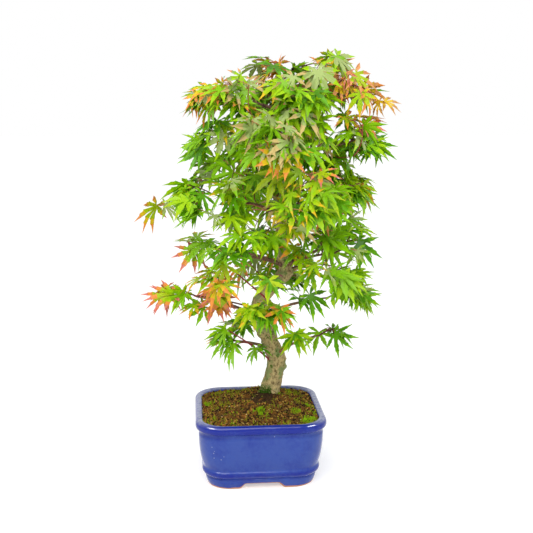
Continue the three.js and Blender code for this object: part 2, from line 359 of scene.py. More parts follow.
# Tufts of moss: where each is, how far it spreads, and how thick it grows.
moss_tufts = [
    (-1, -43, 11, 1.0), (5, -49, 7, 0.9), (45, -39, 9, 0.8), (62, -58, 12, 0.9), (52, 21, 16, 0.45),
    (66, -6, 10, 0.7), (-66, 12, 8, 1.0), (-62, -48, 9, 0.5), (-52, -6, 10, 0.35), (-30, 28, 18, 0.3),
    (26, -66, 9, 0.45), (70, -30, 9, 0.6), (38, 48, 16, 0.45), (-50, 55, 14, 0.45), (0, 62, 16, 0.4),
    (-40, -62, 9, 0.4), (30, 6, 10, 0.4),
]


def soil_height(x, y, share):
    """Height of the soil: a mound that flattens out at the foot of the trunk, with lumps and crumbs."""
    rise = min(1.0, (1 - share) / 0.85)
    mound = soil_edge_height + (soil_crest_height - soil_edge_height) * rise * rise * (3 - 2 * rise)
    lumps = noise.noise(Vector((x, y, 0)) * 45) * 1.8 + noise.noise(Vector((x, y, 3)) * 140) * 1.3
    crumbs = noise.noise(Vector((x, y, 7)) * 420) * 0.9
    return mound + (lumps + crumbs) * MM * (0.55 if share > 0.97 else 1.0)


def soil_loops():
    loops = []
    for half in (0.30 * soil_edge_half, soil_edge_half - 2.5 * MM):
        flat = square_loop(half)
        loops.append(np.column_stack([flat, np.full(len(flat), soil_edge_height - soil_skirt)]))
    for k in range(soil_rows, 0, -1):
        share = k / soil_rows
        flat = square_loop(soil_edge_half * share, corner_share * share + 1 - share)
        flat = flat + np.array([trunk_foot.x, trunk_foot.y]) * (1 - share)
        loops.append(np.array([(x, y, soil_height(x, y, share)) for x, y in flat]))
    return loops


def paint(mesh, name, rule):
    """Writes an attribute that a rule gives for each vertex's place."""
    layer = mesh.attributes.new(name, "FLOAT", "POINT")
    layer.data.foreach_set("value", [rule(vertex.co) for vertex in mesh.vertices])


def on_top(place):
    return 1.0 if place.z > soil_edge_height - 4 * MM else 0.0


def compost_share(place):
    off = ((place.xy - compost_middle).length - 8 * MM * noise.noise(place * 60)) / compost_reach
    return on_top(place) * min(1.0, max(0.0, 1.8 - 1.8 * off))


def moss_share(place):
    growth = 0.03 + 0.45 * max(0.0, noise.noise(place * 90))
    for x, y, reach, thickness in moss_tufts:
        off = (place.xy - Vector((x, y)) * MM).length / (reach * MM)
        growth = max(growth, thickness * (1.25 - off * off) * (0.7 + 0.9 * noise.noise(place * 190)))
    return on_top(place) * min(1.0, max(0.0, growth)) * (1 - 0.8 * compost_share(place))


def lush_share(place):
    return max(0.0, 2.2 * moss_share(place) - 1.0)


def loose_share(place):
    return on_top(place) * (1 - 0.85 * compost_share(place)) * max(0.1, 0.7 + 1.4 * noise.noise(place * 70))


def soil_material():
    material, tree, shader = new_material("potting_soil", (0.07, 0.035, 0.016), 0.95, 0.05)
    place = object_place(tree)
    grit = mottle(tree, place, 330.0, 8.0, 0.75)
    earth = colour_ramp(tree, grit, [
        (0.32, (0.010, 0.005, 0.002)), (0.47, (0.060, 0.028, 0.006)), (0.58, (0.16, 0.078, 0.014)),
        (0.70, (0.34, 0.19, 0.045))])
    damp = colour_ramp(tree, grit, [
        (0.32, (0.010, 0.005, 0.002)), (0.52, (0.042, 0.021, 0.007)), (0.70, (0.110, 0.060, 0.018))])
    compost = add_node(tree, "ShaderNodeAttribute", attribute_name="compost").outputs["Fac"]
    tree.links.new(mix_colour(tree, compost, earth, damp), shader.inputs["Base Color"])
    add_relief(tree, shader, grit, 0.9, 0.002)
    return material


soil_mesh = loop_mesh("soil_bed", soil_loops())
soil_rules = {"compost": compost_share, "moss": moss_share, "lush": lush_share, "loose": loose_share}
for name, rule in soil_rules.items():
    paint(soil_mesh, name, rule)
soil_mesh.materials.append(soil_material())
soil = new_object("soil_bed", soil_mesh)
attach(soil, "root")
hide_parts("soil")


def open_tree(name, inputs):
    """A geometry tree with those inputs by name and kind of socket, and the sockets that bring them in."""
    tree = bpy.data.node_groups.new(name, "GeometryNodeTree")
    tree.interface.new_socket("Geometry", in_out="INPUT", socket_type="NodeSocketGeometry")
    for socket, kind in inputs.items():
        tree.interface.new_socket(socket, in_out="INPUT", socket_type="NodeSocket" + kind)
    tree.interface.new_socket("Geometry", in_out="OUTPUT", socket_type="NodeSocketGeometry")
    return tree, tree.nodes.new("NodeGroupInput").outputs


def close_tree(tree, geometry, material):
    skin = add_node(tree, "GeometryNodeSetMaterial", {"Geometry": geometry, "Material": material})
    tree.links.new(skin.outputs[0], tree.nodes.new("NodeGroupOutput").inputs[0])
    return tree


def scatter_tree(name, shape, tilt):
    """Geometry nodes that strew small shapes over a surface, as thickly as the attribute Where says."""
    tree, given = open_tree(name, {
        "Where": "String", "Density": "Float", "Smallest": "Vector", "Largest": "Vector", "Seed": "Int",
        "Material": "Material"})
    share = add_node(tree, "GeometryNodeInputNamedAttribute", {"Name": given["Where"]}, data_type="FLOAT")
    density = combine(tree, "MULTIPLY", share.outputs[0], given["Density"])
    spots = add_node(tree, "GeometryNodeDistributePointsOnFaces", {
        "Mesh": given["Geometry"], "Density": density, "Seed": given["Seed"]})
    swing = add_node(tree, "FunctionNodeRandomValue", {"Seed": given["Seed"]}, data_type="FLOAT_VECTOR")
    swing.inputs[0].default_value = (-tilt, -tilt, -math.pi)
    swing.inputs[1].default_value = (tilt, tilt, math.pi)
    turned = add_node(tree, "FunctionNodeRotateRotation", {
        "Rotation": spots.outputs["Rotation"], "Rotate By": swing.outputs[0]}, rotation_space="LOCAL")
    size = add_node(tree, "FunctionNodeRandomValue", {"Seed": given["Seed"]}, data_type="FLOAT_VECTOR")
    tree.links.new(given["Smallest"], size.inputs[0])
    tree.links.new(given["Largest"], size.inputs[1])
    strewn = add_node(tree, "GeometryNodeInstanceOnPoints", {
        "Points": spots.outputs["Points"], "Instance": shape(tree), "Rotation": turned.outputs[0],
        "Scale": size.outputs[0]})
    real = add_node(tree, "GeometryNodeRealizeInstances", {"Geometry": strewn.outputs[0]})
    return close_tree(tree, real.outputs[0], given["Material"])


def crumb_shape(tree):
    return add_node(tree, "GeometryNodeMeshIcoSphere", {"Radius": 0.5, "Subdivisions": 1}).outputs["Mesh"]


def blade_shape(tree):
    """A moss leaf: a narrow three-sided spike."""
    return add_node(tree, "GeometryNodeMeshCone", {
        "Vertices": 3, "Radius Top": 0.06, "Radius Bottom": 0.5, "Depth": 1.0}).outputs["Mesh"]


def run_nodes(thing, tree, **settings):
    """Runs a geometry tree on an object and leaves the result as the object's plain mesh."""
    modifier = thing.modifiers.new(tree.name, "NODES")
    modifier.node_group = tree
    for socket in tree.interface.items_tree:
        if socket.in_out == "INPUT" and socket.name in settings:
            modifier[socket.identifier] = settings[socket.name]
    depsgraph = bpy.context.evaluated_depsgraph_get()
    result = bpy.data.meshes.new_from_object(thing.evaluated_get(depsgraph))
    thing.modifiers.clear()
    thing.data = result


def crumb_material(name, colour):
    """Dry, rough stuff, with a grain in its relief and its roughness."""
    material, tree, shader = new_material(name, colour, 0.9, 0.05)
    place = object_place(tree)
    grain = mottle(tree, place, 1500.0, 3.0)
    tree.links.new(remap(tree, grain, 0.3, 0.7, 0.7, 1.0), shader.inputs["Roughness"])
    add_relief(tree, shader, grain, 0.5, 0.0006)
    return material


strew_crumbs = scatter_tree("strew_crumbs", crumb_shape, 3.1)
strew_chips = scatter_tree("strew_chips", crumb_shape, 0.35)
strew_blades = scatter_tree("strew_blades", blade_shape, 0.8)
round_small, round_large = (1.6, 1.6, 1.2), (5.4, 4.4, 3.2)
# Each kind: where it lies, how many to the square metre, its smallest and largest size in mm, and its colour.
loose_kinds = [
    ("soil_crumbs", strew_crumbs, "loose", 70000, round_small, round_large, (0.150, 0.066, 0.010)),
    ("soil_dark_crumbs", strew_crumbs, "loose", 62000, round_small, round_large, (0.024, 0.011, 0.003)),
    ("soil_tan_crumbs", strew_crumbs, "loose", 24000, (1.2, 1.2, 0.9), (4.8, 3.6, 2.6), (0.42, 0.235, 0.040)),
    ("soil_bark_chips", strew_chips, "loose", 26000, (2.6, 1.2, 0.8), (8.0, 3.4, 1.8), (0.26, 0.100, 0.018)),
    ("soil_straw", strew_chips, "loose", 15000, (3.0, 0.6, 0.6), (9.5, 1.2, 1.0), (0.46, 0.33, 0.090)),
    ("soil_pale_grit", strew_crumbs, "loose", 1600, (1.2, 1.2, 1.0), (2.8, 2.4, 2.2), (0.62, 0.55, 0.30)),
    ("moss_bright", strew_blades, "lush", 420000, (0.9, 0.9, 2.2), (2.1, 2.1, 6.0), (0.220, 0.440, 0.003)),
    ("moss_dull", strew_blades, "moss", 340000, (0.9, 0.9, 1.6), (2.1, 2.1, 4.8), (0.210, 0.250, 0.006)),
]
for seed, (name, tree, where, density, smallest, largest, colour) in enumerate(loose_kinds):
    piece = new_object(name, soil_mesh.copy())
    run_nodes(
        piece, tree, Where=where, Density=float(density), Smallest=[s * MM for s in smallest],
        Largest=[s * MM for s in largest], Seed=seed + 11, Material=crumb_material(name, colour))
    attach(piece, "root")

# ---------------------------------------------------------------- Trunk
# One stem with an S bend, spread at the foot where the roots go down, with ring scars, swellings and a few
# old pruning knots, under thin fawn bark that algae has greened. It tapers all the way to the crown's top.
trunk_bends = [
    (15.5, 12, 99), (17.5, 12, 107), (24, 8, 150), (14, 4, 180), (0, 2, 215), (12, 4, 244),
    (36, 6, 270), (29, 5, 305), (33, 0, 350), (41, -4, 430), (40, -4, 470), (34, -2, 508),
]
trunk_base_radius, trunk_tip_radius, trunk_taper = 12.4 * MM, 2.2 * MM, 0.8
# Roots that run into the soil: bearing in degrees, how far each stands out, how high it starts.
roots = [(196, 8.5, 8), (292, 6.0, 8), (345, 3.0, 7), (35, 3.5, 9), (110, 5.5, 11)]
# Ring scars: height, how far each stands out, and how wide it is.
ring_scars = [
    (112, 0.7, 1.6), (128, 1.1, 2.0), (141, 0.8, 1.4), (149, 0.9, 1.2), (158, 1.3, 2.2), (166, 0.7, 1.3),
    (173, 0.9, 1.6), (190, 1.2, 2.0), (206, 0.8, 1.6), (226, 1.2, 2.0), (247, 1.0, 2.0), (258, 0.9, 1.6),
    (268, 2.0, 2.6), (281, 0.9, 1.8), (297, 1.2, 2.0), (318, 0.8, 2.0), (338, 1.0, 2.0), (362, 0.8, 2.0),
    (390, 0.8, 2.0), (420, 0.6, 2.0),
]
# Swellings: height, bearing, how far each stands out, how far it spreads up and round.
swellings = [
    (152, 0, 2.2, 13), (139, 352, 3.4, 3.6), (186, 330, 1.8, 7), (268, 0, 1.6, 8), (120, 250, 1.4, 9),
    (160, 190, 1.0, 8), (176, 270, 1.4, 7), (236, 200, 1.6, 8),
]
# Pruning knots, hollow in the middle: height, bearing, and radius.
knots = [(256, 238, 4.6), (330, 290, 3.2), (130, 318, 2.6), (186, 215, 3.0), (187, 300, 2.8)]
trunk_line = smooth_line(np.array(trunk_bends) * MM, 36)


def frames_along(line):
    """A line's direction at each place, and two directions square to it that turn as little as they can."""
    ahead = np.gradient(line, axis=0)
    ahead /= np.linalg.norm(ahead, axis=1)[:, None]
    side = np.cross(ahead[0], (0.0, 1.0, 0.0))
    if np.linalg.norm(side) < 0.1:
        side = np.cross(ahead[0], (1.0, 0.0, 0.0))
    sides = []
    for direction in ahead:
        side = side - direction * side.dot(direction)
        side = side / np.linalg.norm(side)
        sides.append(side)
    sides = np.array(sides)
    return ahead, sides, np.cross(ahead, sides)


def distance_along(line):
    return np.concatenate([[0], np.cumsum(np.linalg.norm(np.diff(line, axis=0), axis=1))])


def toward(bearing):
    return Vector((math.cos(math.radians(bearing)), math.sin(math.radians(bearing)), 0))


def bark_relief(spot, centre, out, plain, travelled):
    """How far the bark stands out at a spot, in mm: grain, scars, swellings, knots and roots."""
    stretched = Vector((spot.x, spot.y, spot.z * 0.55))
    relief = noise.noise(stretched * 150) * 1.0 + noise.noise(stretched * 400) * 0.75
    for height, stand, width in ring_scars:
        off = (spot.z - height * MM + 2.2 * MM * noise.noise(spot * 50)) / (width * MM)
        if abs(off) < 3:
            relief += stand * math.exp(-off * off) * (0.45 + 0.9 * noise.noise(spot * 75))
    for height, bearing, stand, spread in swellings:
        middle = Vector(centre) + toward(bearing) * plain
        middle.z = height * MM
        off = (spot - middle).length / (spread * MM)
        if off < 2.5:
            relief += stand * math.exp(-off * off)
    for height, bearing, size in knots:
        middle = Vector(centre) + toward(bearing) * plain
        middle.z = height * MM
        off = (spot - middle).length / (size * MM)
        if off < 2.2 and out.dot(toward(bearing)) > 0:
            relief += 2.0 * math.exp(-((off - 0.9) ** 2) * 5) - 2.4 * math.exp(-off * off * 3.5)
    for bearing, stand, start in roots:
        aside = out.angle(toward(bearing)) / 0.42
        relief += stand * math.exp(-travelled / (start * MM)) * math.exp(-aside * aside)
    return relief


def trunk_skin(line, around):
    travelled = distance_along(line)
    _, across, over = frames_along(line)
    loops = []
    for k, centre in enumerate(line):
        share = travelled[k] / travelled[-1]
        plain = trunk_tip_radius + (trunk_base_radius - trunk_tip_radius) * (1 - share) ** trunk_taper
        loop = []
        for i in range(around):
            angle = 2 * math.pi * i / around
            out = Vector(across[k] * math.cos(angle) + over[k] * math.sin(angle))
            spot = Vector(centre) + out * plain
            swell = 1 + 0.09 * noise.noise(spot * 38) + 0.06 * noise.noise(spot * 90)
            relief = bark_relief(spot, centre, out, plain, travelled[k]) * min(1.0, plain / (9 * MM))
            loop.append(np.array(centre) + np.array(out) * (plain * swell + relief * MM))
        loops.append(np.array(loop))
    loops[0][:, 2] = trunk_foot.z
    return loops


def bark_material(name, pale, dark, green_share):
    """Thin bark: a fine rough grain drawn out along the limb, dark in its cracks, with patches of algae."""
    algae, moss = (0.200, 0.255, 0.085, 1), (0.060, 0.120, 0.012, 1)
    material, tree, shader = new_material(name, pale, 0.85, 0.2)
    place = object_place(tree)
    drawn = add_node(tree, "ShaderNodeMapping", {"Vector": place, "Scale": (1, 1, 0.6)}).outputs["Vector"]
    grain = mottle(tree, drawn, 330.0, 8.0, 0.72)
    blotch = mottle(tree, place, 62.0, 4.0, 0.6)
    base = colour_ramp(tree, grain, [
        (0.28, tuple(0.45 * c for c in dark)), (0.38, dark), (0.49, pale),
        (0.66, tuple(1.5 * c for c in pale))])
    greened = remap(tree, blotch, 0.62 - green_share, 0.70 - green_share, 0.0, 0.85)
    algaed = mix_colour(tree, greened, base, algae)
    mossy = mottle(tree, place, 130.0, 5.0, 0.7)
    patch = combine(tree, "MULTIPLY", remap(tree, mossy, 0.56, 0.64),
                    remap(tree, blotch, 0.56 - green_share, 0.60 - green_share))
    tree.links.new(mix_colour(tree, patch, algaed, moss), shader.inputs["Base Color"])
    add_relief(tree, shader, grain, 1.0, 0.0022)
    return material


def foot_moss(place):
    """Moss sits in the hollow at the front left of the trunk's foot."""
    off = (place - Vector((7, -2, 105)) * MM).length / (12 * MM)
    return max(0.0, 1 - off)


trunk_mesh = loop_mesh("trunk_bark", trunk_skin(trunk_line, 72))
trunk_mesh.materials.append(bark_material("trunk_bark", (0.400, 0.310, 0.135), (0.130, 0.085, 0.032), 0.14))
trunk = new_object("trunk_bark", trunk_mesh)
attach(trunk, "root")
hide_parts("trunk")

mossy_mesh = trunk_mesh.copy()
paint(mossy_mesh, "moss", foot_moss)
foot_tuft = new_object("moss_on_trunk", mossy_mesh)
run_nodes(
    foot_tuft, strew_blades, Where="moss", Density=1800000.0, Smallest=[0.8 * MM, 0.8 * MM, 2.0 * MM],
    Largest=[1.6 * MM, 1.6 * MM, 5.0 * MM], Seed=29,
    Material=crumb_material("moss_dark", (0.055, 0.140, 0.008)))
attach(foot_tuft, "root")

# ---------------------------------------------------------------- Growth
# The rule that the boughs, twigs and leaves grow by. From each bough's foot on the trunk a leader runs into
# its mass of foliage. Twigs fork off towards open places in the mass, and each ends in opposite leaves.
mass_names = sorted(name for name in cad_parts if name.startswith("foliage_"))
growth_seed = 7
UP = Vector((0, 0, 1))
# How thick the leaves are in each tier, from the crown's cap down to the skirt.
tier_leafiness = {
    "cap": 0.55, "top": 1.0, "upper": 0.85, "high": 0.72, "middle": 0.30, "low": 0.60, "skirt": 0.22}
side_thinning = 0.60  # the masses to the left and right have this share of that
place_volume = (41 * MM) ** 3  # the room that one spray takes at a leafiness of 1
# Sprays keep this far apart, this deep in their mass, and as much above that depth as their leaves hang.
place_spacing, least_depth, hang = 15 * MM, 8 * MM, 11 * MM
edge_reach = 150 * MM  # how far from the trunk the sprays have thinned to half
# Sprays between the masses: from and up to which height, how far from the trunk, how many, and how far from
# a mass at most.
between_low, between_high, between_reach = 275 * MM, 515 * MM, 104 * MM
between_count, between_gap = 64, 13 * MM
# Leaves on the crown's surface: how many, between which heights, how far in from it their stalks end, how
# far they turn aside and how steeply they hang, in degrees. Golden steps spread them evenly round it.
GOLDEN_ANGLE, GOLDEN_SHARE = 137.5, 0.618
outer_count, outer_low, outer_high = 90, 235 * MM, 540 * MM
outer_inset, outer_turn, outer_falls = 8 * MM, 30, (15, 70)
third_leaf_share, shoot_share = 0.6, 0.35  # how often a spray has a third leaf, and a twig is a red shoot
stalk_back, stalk_down = 9 * MM, 3 * MM  # how far behind and below a surface leaf its stalk starts
overhang = 7 * MM  # how far a leaf may stand out of its mass
leaf_sizes = (28 * MM, 44 * MM)
stalk_lengths = (9 * MM, 23 * MM)
# Lone shoots that reach past the crown, and bare ones that show against it. Their foot, bend and end in mm,
# their radius at each end, their kind, and their leaves: bearing, fall, roll, size and colours.
lone_shoots = [
    ((-78, 6, 352), (-102, 8, 367), (-126, 10, 358), 0.8, 0.5, "shoots",
     [(196, 58, 48, 48, "turning"), (350, 40, -40, 36, "pale")]),
    ((112, -26, 510), (132, -30, 512), (150, -33, 490), 0.7, 0.5, "shoots",
     [(350, 30, 30, 30, "browned"), (240, 80, 40, 28, "browned")]),
    ((90, -25, 498), (100, -28, 520), (114, -29, 524), 0.8, 0.5, "shoots",
     [(350, 58, 35, 46, "rosy"), (215, 60, 10, 30, "flushed")]),
    ((100, -30, 490), (116, -36, 500), (126, -38, 500), 0.8, 0.5, "shoots",
     [(330, 70, 0, 35, "golden"), (250, 65, 0, 32, "yellowing")]),
    ((16, 4, 149), (0, -14, 170), (-40, -17, 197), 1.3, 0.8, "shoots",
     [(170, 25, 40, 34, "mixed"), (215, 60, 0, 32, "green")]),
    ((-8, -13, 176), (-22, -15, 182), (-29, -18, 178), 0.7, 0.5, "shoots",
     [(205, 72, 0, 44, "green"), (150, 50, 30, 30, "dark")]),
    ((3, -11, 172), (1, -13, 174), (-2, -16, 172), 0.7, 0.5, "shoots",
     [(235, 50, 20, 30, "green"), (330, 40, 0, 24, "dark")]),
    ((26, 0, 158), (33, -8, 172), (46, -24, 192), 1.2, 0.8, "shoots",
     [(275, 72, 0, 38, "bright"), (330, 50, 0, 33, "mixed"), (240, 60, 10, 30, "dark")]),
    ((22, -20, 228), (0, -38, 250), (-42, -57, 290), 1.5, 0.8, "shoots",
     [(230, 60, 0, 33, "limy"), (160, 30, 20, 32, "mixed")]),
    ((58, -24, 517), (70, -22, 528), (92, -19, 545), 0.9, 0.6, "shoots",
     [(350, 42, 25, 48, "pale"), (320, 62, 10, 40, "mixed"), (200, 15, 40, 26, "yellowing")]),
    ((44, -4, 276), (78, -14, 290), (122, -12, 271), 1.3, 0.6, "twigs",
     [(340, 45, 30, 33, "mixed"), (250, 60, 0, 32, "green")]),
    ((-4, 0, 222), (-40, -10, 236), (-92, -12, 245), 1.3, 0.7, "twigs",
     [(187, 22, 62, 38, "mixed"), (160, 22, 30, 36, "bright"), (225, 50, 20, 34, "green")]),
    ((-46, 0, 488), (-60, 2, 500), (-72, 4, 499), 0.8, 0.5, "shoots",
     [(186, 62, 0, 40, "golden"), (240, 70, 0, 34, "turning"), (120, 20, 20, 30, "mixed")]),
    ((14, -30, 232), (6, -60, 246), (-14, -76, 240), 0.9, 0.6, "shoots",
     [(235, 62, 0, 36, "limy"), (285, 70, 0, 34, "yellowing"), (190, 40, 0, 30, "mixed")]),
    ((16, -30, 226), (22, -56, 240), (20, -72, 236), 0.9, 0.6, "shoots",
     [(285, 66, 0, 34, "golden"), (320, 50, 0, 34, "dark")]),
    ((30, -20, 268), (20, -60, 282), (6, -84, 276), 0.9, 0.6, "shoots",
     [(265, 60, 0, 34, "limy"), (300, 50, 0, 32, "dark")]),
    ((-40, -50, 262), (-52, -60, 272), (-50, -72, 270), 0.8, 0.5, "shoots",
     [(215, 60, 0, 38, "golden"), (290, 55, 0, 36, "turning"), (180, 35, 15, 42, "red_edged")]),
]


def mass_shape(name):
    """The mass's surface, for asking how far inside a place is, its middle and its size."""
    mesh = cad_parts[name].data
    vertices = [v.co.copy() for v in mesh.vertices]
    tree = BVHTree.FromPolygons(vertices, [tuple(p.vertices) for p in mesh.polygons])
    low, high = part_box(name)
    return tree, (Vector(low) + Vector(high)) / 2, Vector(high) - Vector(low)


shapes = {name: mass_shape(name) for name in mass_names}


def depth_inside(tree, place):
    """How deep a place lies inside the mass, negative outside it."""
    nearest, normal, _, distance = tree.find_nearest(place)
    return distance if (place - nearest).dot(normal) < 0 else -distance


def trunk_at(height):
    k = int(np.argmin(np.abs(trunk_line[:, 2] - height)))
    return Vector(trunk_line[k])


def away_from_trunk(place):
    flat = place - trunk_at(place.z)
    flat.z = 0
    return flat.normalized() if flat.length > 1e-5 else Vector((0, -1, 0))


def bend(start, turn, end, steps):
    """Places on a quadratic curve."""
    shares = [i / steps for i in range(steps + 1)]
    return [start * (1 - t) ** 2 + turn * 2 * t * (1 - t) + end * t**2 for t in shares]


class Growth:
    """What has grown: limbs as lines with a radius at each end, and leaves as a place, two directions, a
    size, how deep in their mass they hang, and their colours where those are chosen."""

    def __init__(self):
        self.boughs, self.twigs, self.shoots, self.stalks, self.leaves = [], [], [], [], []


grown = Growth()


def hang_leaf(joint, end, out, fall, roll, size, depth, scheme=None):
    """A blade at the end of its stalk, tipped down by its fall and rolled about its middle rib."""
    axis = (out * math.cos(fall) - UP * math.sin(fall)).normalized()
    normal = (UP * math.cos(fall) + out * math.sin(fall)).normalized()
    normal = Matrix.Rotation(roll, 3, axis) @ normal
    grown.leaves.append((end, axis, normal, size, depth, scheme))
    middle = (joint + end) / 2 + UP * (end - joint).length * 0.14
    grown.stalks.append((bend(joint, middle, end + axis * 0.5 * MM, 5), 0.50 * MM, 0.38 * MM))


def grow_leaf(rng, joint, reach_out, side, tree, mass):
    """A leaf of a mass. Its stalk is drawn back where the blade would stand too far out of the mass."""
    size = rng.uniform(*leaf_sizes)
    direction = reach_out * rng.uniform(0.3, 0.8) + side * rng.uniform(0.5, 0.95)
    direction += UP * rng.uniform(-0.25, 0.35)
    end = joint + direction.normalized() * rng.uniform(*stalk_lengths)
    out = away_from_trunk(end) + (end - mass).normalized() * 0.5 + side * rng.uniform(0.1, 0.8)
    out.z = 0
    out.normalize()
    for _ in range(3):
        tip = end + (out * 0.7 - UP * 0.5) * size
        excess = max(-depth_inside(tree, tip) - overhang, -depth_inside(tree, end) - overhang / 2)
        if excess <= 0:
            break
        end = end.lerp(mass, min(0.6, excess / max(1e-6, (end - mass).length)))
    out = Matrix.Rotation(rng.normal(0, 0.6), 3, UP) @ out
    fall, roll = rng.triangular(-0.15, 0.65, 1.45), rng.normal(0, 0.6)
    hang_leaf(joint, end, out, fall, roll, size, depth_inside(tree, end))


def grow_spray(rng, end, direction, tree, middle):
    """Opposite leaves at the end of a twig, and often a third between them that hangs."""
    reach_out = direction.normalized()
    across = reach_out.cross(UP).normalized()
    for side in (across, -across):
        grow_leaf(rng, end, reach_out, side, tree, middle)
    if rng.random() < third_leaf_share:
        grow_leaf(rng, end, reach_out, -UP * 0.4 + across * rng.uniform(-0.5, 0.5), tree, middle)


def open_places(rng, tree, middle, size, count, lift):
    """Places in a mass, thinner away from the trunk, that keep clear of each other and of its surface."""
    places = []
    for _ in range(4000):
        if len(places) == count:
            break
        place = middle + Vector([rng.uniform(-0.5, 0.5) * s for s in size])
        if depth_inside(tree, place - UP * lift) < least_depth:
            continue
        if rng.random() < 0.5 * (place.xy - trunk_at(place.z).xy).length / edge_reach:
            continue
        if all((place - other).length > place_spacing for other in places):
            places.append(place)
    return places


def grow_twig(rng, nodes, place, middle):
    """A twig to a place from the limb that leads there best. Returns the way its leaves point."""
    scores = [(place - node).length * (1.6 - 0.6 * (place - node).normalized().dot(heading))
              for node, heading, _ in nodes]
    node, heading, radius = nodes[int(np.argmin(scores))]
    step = place - node
    control = node + heading * step.length * 0.35 + step * 0.2 + UP * step.length * 0.12
    line = bend(node, control, place, 6)
    thin = max(0.50 * MM, radius * 0.72)
    (grown.shoots if rng.random() < shoot_share else grown.twigs).append((line, thin, 0.5 * MM))
    ahead = (line[-1] - line[-2]).normalized()
    for k in (2, 4, 6):
        nodes.append((line[k], ahead, thin))
    return (ahead + away_from_trunk(place) * 0.7 + (place - middle).normalized() * 0.5).normalized()


def grow_between():
    """Sprays round the trunk in the gaps between the masses, so that the tiers run into each other."""
    rng = np.random.default_rng(growth_seed)
    places = []
    while len(places) < between_count:
        height = rng.uniform(between_low, between_high)
        place = trunk_at(height) + toward(rng.uniform(0, 360)) * between_reach * math.sqrt(rng.random())
        place.z = height
        depths = [depth_inside(shapes[name][0], place) for name in mass_names]
        nearest = int(np.argmax(depths))
        if not -between_gap < depths[nearest] < 2 * MM:
            continue
        if all((place - other).length > place_spacing for other in places):
            places.append(place)
            tree, middle, _ = shapes[mass_names[nearest]]
            outward = grow_twig(rng, buds, place, middle)
            grow_spray(rng, place, outward, tree, middle)


def grow_mass(index, name):
    """A mass's leader, its twigs to open places, and their leaves."""
    rng = np.random.default_rng(growth_seed + index)
    tree, middle, size = shapes[name]
    bough_name = name.replace("foliage_", "bough_")
    tier = name.split("_")[1]
    leafiness = tier_leafiness[tier] * (side_thinning if name.split("_")[-1] in ("left", "right") else 1)
    count = max(1, round(size.x * size.y * size.z / place_volume * leafiness))
    start_height = max(middle.z - 0.3 * (middle - trunk_at(middle.z)).length, trunk_foot.z + 42 * MM)
    start = trunk_at(start_height)
    turn = start.lerp(middle, 0.5)
    turn.z += 0.6 * (middle.z - turn.z)
    leader = bend(start, turn, middle, 12)
    away = middle - start
    if bough_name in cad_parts:
        away.normalize()
        beyond = middle + away * 0.22 * max(size.x, size.y)
        tail = bend(middle, (middle + beyond) / 2 + UP * 4 * MM, beyond, 5)
        grown.boughs.append((leader, 2.4 * MM, 1.2 * MM))
        grown.twigs.append((tail, 1.2 * MM, 0.7 * MM))
    else:
        away = Vector((1, 0, 0.2)).normalized()
        tail = bend(middle, middle + away * 12 * MM, middle + away * 24 * MM, 5)
        grown.twigs.append((leader + tail[1:], 1.6 * MM, 0.7 * MM))
    run = leader + tail[1:]
    nodes = [(place, away, 1.2 * MM) for place in run[5:]]
    places = open_places(rng, tree, middle, size, count, 0.0 if tier == "cap" else hang)
    places.sort(key=lambda place: (place - start).length)
    for place in places:
        outward = grow_twig(rng, nodes, place, middle)
        grow_spray(rng, place, outward, tree, middle)
    grow_spray(rng, run[-1], away, tree, middle)
    buds.extend(nodes)


def grow_lone(foot, turn, end, first, last, kind, leaves):
    """A lone shoot with a few leaves fanned out at its end."""
    foot, turn, end = (Vector(place) * MM for place in (foot, turn, end))
    getattr(grown, kind).append((bend(foot, turn, end, 12), first * MM, last * MM))
    for bearing, fall, roll, size, scheme in leaves:
        out = toward(bearing)
        place = end + out * 5 * MM + UP * 1.5 * MM
        hang_leaf(end, place, out, math.radians(fall), math.radians(roll), size * MM, 0.0, scheme)


def grow_outer():
    """Leaves that hang on the crown's surface all round it, each at the end of a twig of its own."""
    rng = np.random.default_rng(growth_seed)
    trees = [shapes[name][0] for name in mass_names if name not in lone_masses]
    for k in range(outer_count):
        bearing = k * GOLDEN_ANGLE
        height = outer_low + (outer_high - outer_low) * ((k * GOLDEN_SHARE) % 1.0)
        axis = trunk_at(height)
        axis.z = height
        away = toward(bearing)
        hits = [tree.ray_cast(axis + away * 0.3, -away)[0] for tree in trees]
        reaches = [(hit - axis).dot(away) for hit in hits if hit]
        if not reaches:
            continue
        end = axis + away * (max(reaches) - outer_inset)
        out = toward(bearing + rng.normal(0, outer_turn))
        joint = end - out * stalk_back - UP * stalk_down
        grow_twig(rng, buds, joint, trunk_at(joint.z))
        fall, roll = math.radians(rng.uniform(*outer_falls)), rng.normal(0, 0.5)
        hang_leaf(joint, end, out, fall, roll, rng.uniform(*leaf_sizes), 0.0)


buds = []
lone_masses = {"foliage_left_tip", "foliage_right_tip", "foliage_hanging_left"}
for index, name in enumerate(mass_names):
    if name not in lone_masses:
        grow_mass(index, name)
grow_between()
grow_outer()
for shoot in lone_shoots:
    grow_lone(*shoot)

# ---------------------------------------------------------------- Boughs
# The main limbs, one for each mass that has a bough in model.glb: the same bark as the trunk, thinner, darker
# and redder, with a knuckle where each leaves the trunk.


def limb_skin(line, first, last, around):
    line = smooth_line([tuple(p) for p in line], 4)
    travelled = distance_along(line)
    _, across, over = frames_along(line)
    loops = []
    for k, centre in enumerate(line):
        share = travelled[k] / travelled[-1]
        plain = first + (last - first) * share + 1.8 * MM * math.exp(-travelled[k] / (8 * MM))
        loop = []
        for i in range(around):
            angle = 2 * math.pi * i / around
            out = across[k] * math.cos(angle) + over[k] * math.sin(angle)
            spot = Vector(centre + out * plain)
            relief = noise.noise(spot * 260) * 0.35 + noise.noise(spot * 110) * 0.35
            loop.append(centre + out * (plain + relief * MM * min(1, plain / (3 * MM))))
        loops.append(np.array(loop))
    return loops


